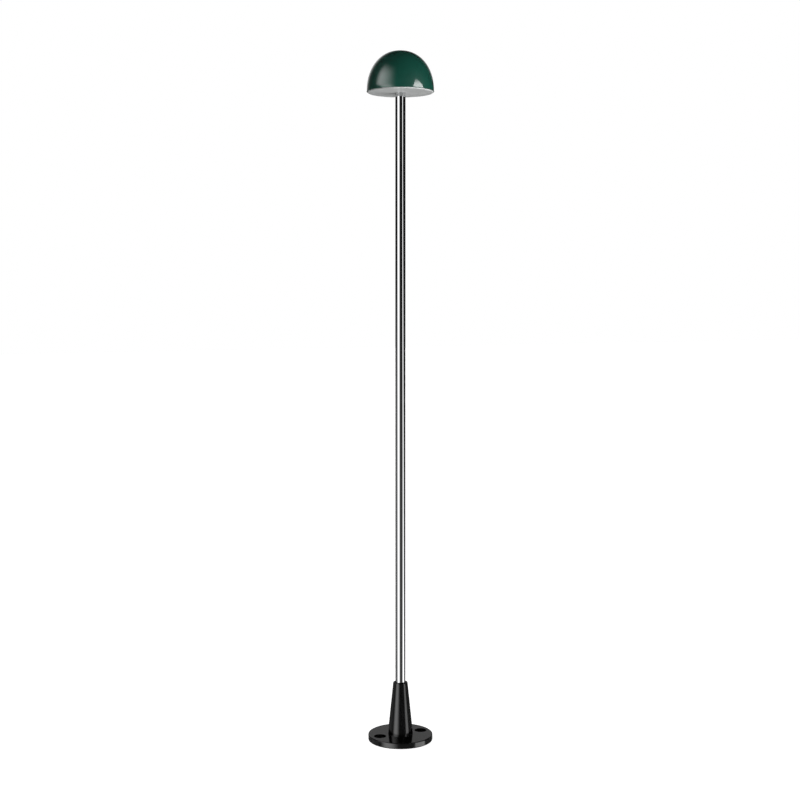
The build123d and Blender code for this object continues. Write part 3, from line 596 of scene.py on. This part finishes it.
class Sky:
    """Directions round the lamp. Azimuth is counted from the camera's direction, positive to its right."""

    def __init__(self, tree):
        self.tree = tree
        ray = tree.node("ShaderNodeTexCoord").outputs["Generated"]
        turned = tree.node(
            "ShaderNodeVectorRotate", rotation_type="Z_AXIS", Vector=ray, Angle=math.radians(-CAMERA_ANGLE)
        )
        self.ray = turned.outputs[0]
        parts = tree.node("ShaderNodeSeparateXYZ", Vector=self.ray)
        x, y, self.height = (parts.outputs[i] for i in range(3))
        self.azimuth = tree.math("DEGREES", tree.math("ARCTAN2", y, x))
        self.elevation = tree.math("DEGREES", tree.math("ARCSINE", self.height))

    def toward(self, azimuth, height):
        """How nearly a ray points at a light: 1 straight at it, 0 square to it."""
        aim = self.tree.node("ShaderNodeVectorMath", operation="DOT_PRODUCT")
        turn = math.radians(azimuth)
        self.tree.feed(aim.inputs[0], self.ray)
        self.tree.feed(aim.inputs[1], (math.cos(turn), math.sin(turn), height))
        return aim.outputs["Value"]

    def patch(self, strength, *edges):
        """Light with soft edges. An edge is a value, where that gives no light, and where it gives all."""
        return self.tree.product(strength, *(self.tree.step(*edge) for edge in edges))


def left_box(sky):
    """Tall soft box on the left, at full light in a narrow strip. Its upper part lies further round."""
    tree = sky.tree
    upper = tree.step(sky.elevation, 8.5, 13)

    def rising(below, above):
        """One value as high as the pole mirrors, and another above that."""
        return tree.math("MULTIPLY_ADD", upper, above - below, below)

    inner_dark = tree.math("MULTIPLY_ADD", tree.math("MINIMUM", sky.elevation, 8.0), -0.35, -9.2)
    return sky.patch(
        rising(2.45, 2.75),
        (sky.azimuth, rising(-78, -100), rising(-50, -74)),
        (sky.azimuth, inner_dark, rising(-40, -72)),
        (sky.elevation, 60, 24),
    )


def right_box(sky):
    """Soft box on the right. Both its sides lean outward toward its foot, where it is brighter."""
    tree = sky.tree
    near_side = tree.math("MINIMUM", 54.5, tree.math("MULTIPLY_ADD", sky.elevation, -0.75, 49.5))
    far_side = tree.math("MAXIMUM", 58.0, tree.math("MULTIPLY_ADD", sky.elevation, -1.68, 66.2))
    return sky.patch(
        tree.step(sky.elevation, -11, -17, 1.75, 2.3),
        (tree.math("SUBTRACT", sky.azimuth, near_side), -3, 3),
        (tree.math("SUBTRACT", far_side, sky.azimuth), -3, 3),
        (sky.elevation, 12, 8),
    )


def glossy_light(sky):
    """What glossy surfaces mirror: the two boxes, and faint patches behind, on the left and below."""
    near_black = 0.012
    behind = sky.tree.math("ABSOLUTE", sky.azimuth)
    back_high = sky.patch(0.28, (behind, 140, 165), (sky.elevation, 10, 14), (sky.elevation, 32, 26))
    side_low = sky.patch(0.13, (sky.azimuth, -75, -90), (sky.azimuth, -135, -115), (sky.elevation, 2, -5))
    outline_glow = sky.patch(
        0.42,
        (sky.azimuth, -128, -165),
        (sky.azimuth, -174, -168),
        (sky.elevation, -2, 6),
        (sky.elevation, 45, 20),
    )
    floor_glow = sky.patch(0.07, (sky.elevation, 4, -14))
    patches = (back_high, side_low, outline_glow, floor_glow)
    return sky.tree.total(left_box(sky), right_box(sky), *patches, near_black)


def matt_light(sky):
    """What lights matt surfaces: a soft key low on the right, and a weaker fill high at the back left."""
    everywhere = 0.015
    key = sky.patch(2.65, (sky.toward(50, -0.3), 0.55, 1.0))
    fill = sky.patch(1.1, (sky.toward(-140, 0.35), 0.35, 1.1))
    from_below = sky.patch(0.11, (sky.height, 0.5, -0.3))
    return sky.tree.total(key, fill, from_below, everywhere)


def studio_world():
    """White to the camera, with one light for glossy rays and another for matt ones."""
    world = bpy.data.worlds.new("studio")
    bpy.context.scene.world = world
    world.use_nodes = True
    world.cycles.sampling_method = "NONE"
    tree = Tree(world.node_tree)
    sky = Sky(tree)
    path = tree.node("ShaderNodeLightPath")
    from_gloss = path.outputs["Is Glossy Ray"]
    from_camera = path.outputs["Is Camera Ray"]
    glossy = tree.product(from_gloss, glossy_light(sky))
    matt = tree.product(tree.math("SUBTRACT", 1.0, from_gloss), matt_light(sky))
    lit = tree.product(tree.math("SUBTRACT", 1.0, from_camera), tree.total(glossy, matt))
    strength = tree.total(lit, from_camera)
    light = tree.node("ShaderNodeBackground", Color=WHITE, Strength=strength)
    tree.end("ShaderNodeOutputWorld", light.outputs[0])


def card_point(azimuth, height):
    """Point of the upper card, by its azimuth from the camera's direction and its height."""
    turn = math.radians(azimuth + CAMERA_ANGLE)
    return (CARD_DISTANCE * math.cos(turn), CARD_DISTANCE * math.sin(turn), height)


def upper_card():
    """Three-cornered light that only glossy surfaces see, high on the right, fading to its tip."""
    mesh = bpy.data.meshes.new("card")
    mesh.from_pydata([card_point(*corner) for corner in CARD_CORNERS], [], [(0, 1, 2)])
    glow, tree = new_material("card_glow")
    place = tree.node("ShaderNodeTexCoord").outputs["Object"]
    height = tree.node("ShaderNodeSeparateXYZ", Vector=place).outputs["Z"]
    tip = max(corner[1] for corner in CARD_CORNERS)
    fading = tree.product(CARD_STRENGTH, tree.step(height, tip, CARD_FULL_HEIGHT, CARD_TIP_SHARE, 1.0))
    shine = tree.node("ShaderNodeEmission", Color=WHITE, Strength=fading)
    tree.end("ShaderNodeOutputMaterial", shine.outputs[0])
    mesh.materials.append(glow)
    card = add_object("card", mesh)
    card.visible_camera = False
    card.visible_diffuse = False
    card.visible_transmission = False
    card.visible_shadow = False


# ---------------------------------------------------------------- floor and camera


def pale_floor():
    """Large white floor, which only the camera sees, and only from above."""
    work = bmesh.new()
    bmesh.ops.create_grid(work, x_segments=1, y_segments=1, size=FLOOR_HALF_WIDTH)
    paint, tree = new_material("floor_white")
    matt = tree.node("ShaderNodeBsdfDiffuse", Color=FLOOR_COLOUR)
    glow = tree.node("ShaderNodeEmission", Color=WHITE, Strength=FLOOR_GLOW)
    both = tree.node("ShaderNodeAddShader")
    tree.feed(both.inputs[0], matt.outputs[0])
    tree.feed(both.inputs[1], glow.outputs[0])
    from_below = tree.node("ShaderNodeNewGeometry").outputs["Backfacing"]
    clear = tree.node("ShaderNodeBsdfTransparent")
    chosen = tree.node("ShaderNodeMixShader", Fac=from_below)
    tree.feed(chosen.inputs[1], both.outputs[0])
    tree.feed(chosen.inputs[2], clear.outputs[0])
    tree.end("ShaderNodeOutputMaterial", chosen.outputs[0])
    floor = add_object("floor", mesh_of("floor", work))
    floor.location.z = -FLOOR_DROP
    floor.data.materials.append(paint)
    floor.visible_glossy = False
    floor.visible_diffuse = False
    floor.visible_shadow = False


def place_camera():
    """Camera above the lamp's middle, looking slightly down."""
    data = bpy.data.cameras.new("camera")
    data.lens = CAMERA_LENS
    data.sensor_width = CAMERA_SENSOR
    data.shift_x = CAMERA_SHIFT
    data.clip_end = CAMERA_REACH
    data.dof.use_dof = False
    camera = add_object("camera", data)
    stand = math.radians(CAMERA_ANGLE)
    camera.location = (CAMERA_DISTANCE * math.cos(stand), CAMERA_DISTANCE * math.sin(stand), CAMERA_HEIGHT)
    camera.rotation_euler = (math.radians(90 - CAMERA_DOWN), 0.0, stand + math.pi / 2)
    bpy.context.scene.camera = camera


finish_nodes()
spun_shade()
turned_tube()
turned_foot()
studio_world()
upper_card()
pale_floor()
place_camera()
bpy.context.scene.view_settings.view_transform = "Standard"
bpy.context.scene.view_settings.look = "None"
